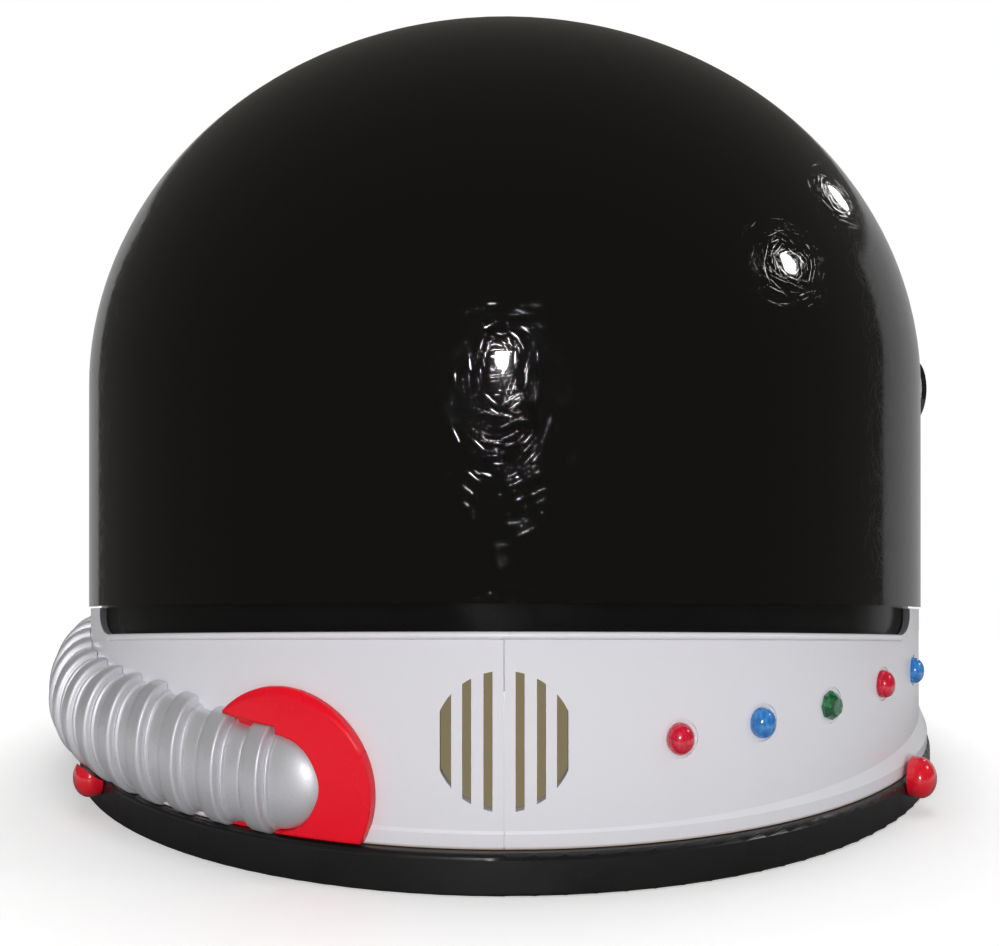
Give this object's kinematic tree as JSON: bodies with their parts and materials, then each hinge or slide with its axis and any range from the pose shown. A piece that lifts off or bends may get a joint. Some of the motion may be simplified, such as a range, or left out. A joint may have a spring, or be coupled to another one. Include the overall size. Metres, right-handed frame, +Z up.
{
  "type": "astronaut helmet",
  "caption": "Round white astronaut helmet with a swinging smoked visor, a black neck rim, a ribbed hose relief on one side and coloured studs on the other.",
  "frame": {"origin": "centre of the neck rim's foot, on the helmet's upright axis", "axes": "+Z up, -Y towards the front of the face opening, +X towards the wearer's left"},
  "size_m": [0.2965, 0.28, 0.238],
  "materials": {
    "white_shell": "glossy white paint",
    "black_gloss": "glossy black",
    "smoked_visor": "polished dark smoke, all but opaque",
    "pale_nylon": "moulded",
    "washer_rubber": "matt",
    "steel": "plain",
    "pale_grey": "satin",
    "brass_insert": "turned",
    "gem_red": "clear polished",
    "gem_blue": "clear polished",
    "gem_green": "clear cut facets",
    "red_gloss": "glossy",
    "silver_paint": "silver metallic paint",
    "bare_aluminium": "mill finish",
    "pad_fabric": "soft knit over foam"
  },
  "bodies": {
    "helmet": {"chin_screws": "steel", "chin_strip": "black_gloss", "crown_pad": "pad_fabric", "crown_strap": "bare_aluminium", "friction_washer_left": "washer_rubber", "friction_washer_right": "washer_rubber", "front_ring": "red_gloss", "gem_blue_front": "gem_blue", "gem_blue_side": "gem_blue", "gem_green": "gem_green", "gem_nuts": "steel", "gem_red_front": "gem_red", "gem_red_side": "gem_red", "hose": "silver_paint", "hose_front_cap": "silver_paint", "hose_rear_cap": "silver_paint", "neck_rim": "black_gloss", "pivot_bolt_left": "steel", "pivot_bolt_right": "steel", "pivot_cap_left": "pale_grey", "rear_pad": "pad_fabric", "rear_plate": "bare_aluminium", "rear_ring": "red_gloss", "rim_screws": "steel", "seam_screws": "steel", "shell_left": "white_shell", "shell_right": "white_shell", "side_pad_left": "pad_fabric", "side_pad_right": "pad_fabric", "stud_left": "red_gloss", "stud_right": "red_gloss"},
    "visor": {"visor": "smoked_visor", "visor_bush_left": "pale_nylon", "visor_bush_right": "pale_nylon"},
    "knob": {"adjuster_knob": "pale_grey", "knob_insert": "brass_insert", "knob_cap": "black_gloss"}
  },
  "joints": [
    {"name": "visor_hinge", "type": "hinge", "parent": "helmet", "child": "visor", "pos_m": [0, 0, 0.1195], "axis": [-1, 0, 0], "range_deg": [0, 70]},
    {"name": "knob_turn", "type": "hinge", "parent": "helmet", "child": "knob", "pos_m": [0.143, 0, 0.1195], "axis": [1, 0, 0], "continuous": true}
  ]
}
